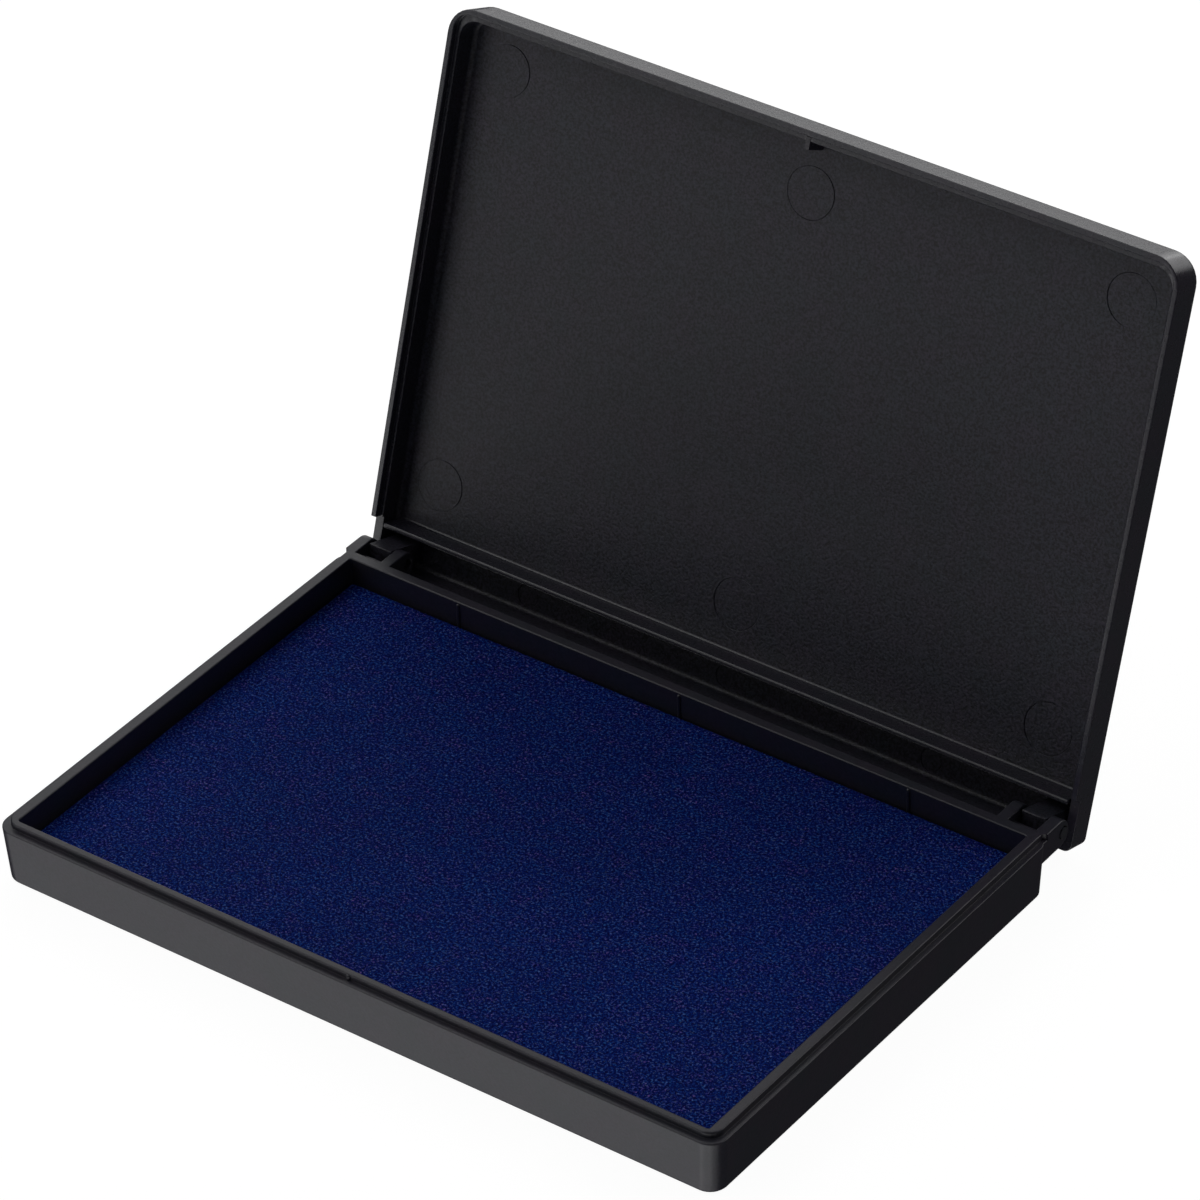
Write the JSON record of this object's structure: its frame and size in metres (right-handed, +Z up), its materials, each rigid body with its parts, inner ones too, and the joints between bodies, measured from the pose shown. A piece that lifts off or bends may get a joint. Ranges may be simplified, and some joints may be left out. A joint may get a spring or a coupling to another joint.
{
  "type": "ink pad",
  "caption": "Hinged plastic ink pad: a shallow black case whose lid swings back on two pins to open a blue cloth-covered felt pad in a recessed well.",
  "frame": {"origin": "middle of the pad well, on the face that the tray rests on", "axes": "+X along the long side, +Y toward the hinge, +Z up; the lid stands open, as it does in use"},
  "size_m": [0.1166, 0.1103, 0.0823],
  "materials": {
    "case_plastic": "fine satin",
    "lid_plastic": "fine spark-eroded satin",
    "pin_plastic": "satin",
    "board": "plain board",
    "felt": "dense wool felt soaked with ink",
    "inked_cloth": "fine inked cloth"
  },
  "bodies": {
    "base": {"tray": "case_plastic", "hinge_pins": "pin_plastic", "pad_board": "board", "pad_felt": "felt", "pad_cloth": "inked_cloth"},
    "cover": {"lid": "lid_plastic"}
  },
  "joints": [
    {"name": "lid_hinge", "type": "hinge", "parent": "base", "child": "cover", "pos_m": [0, 0.0413, 0.00733], "axis": [1, 0, 0], "range_deg": [0, 108.1]}
  ]
}
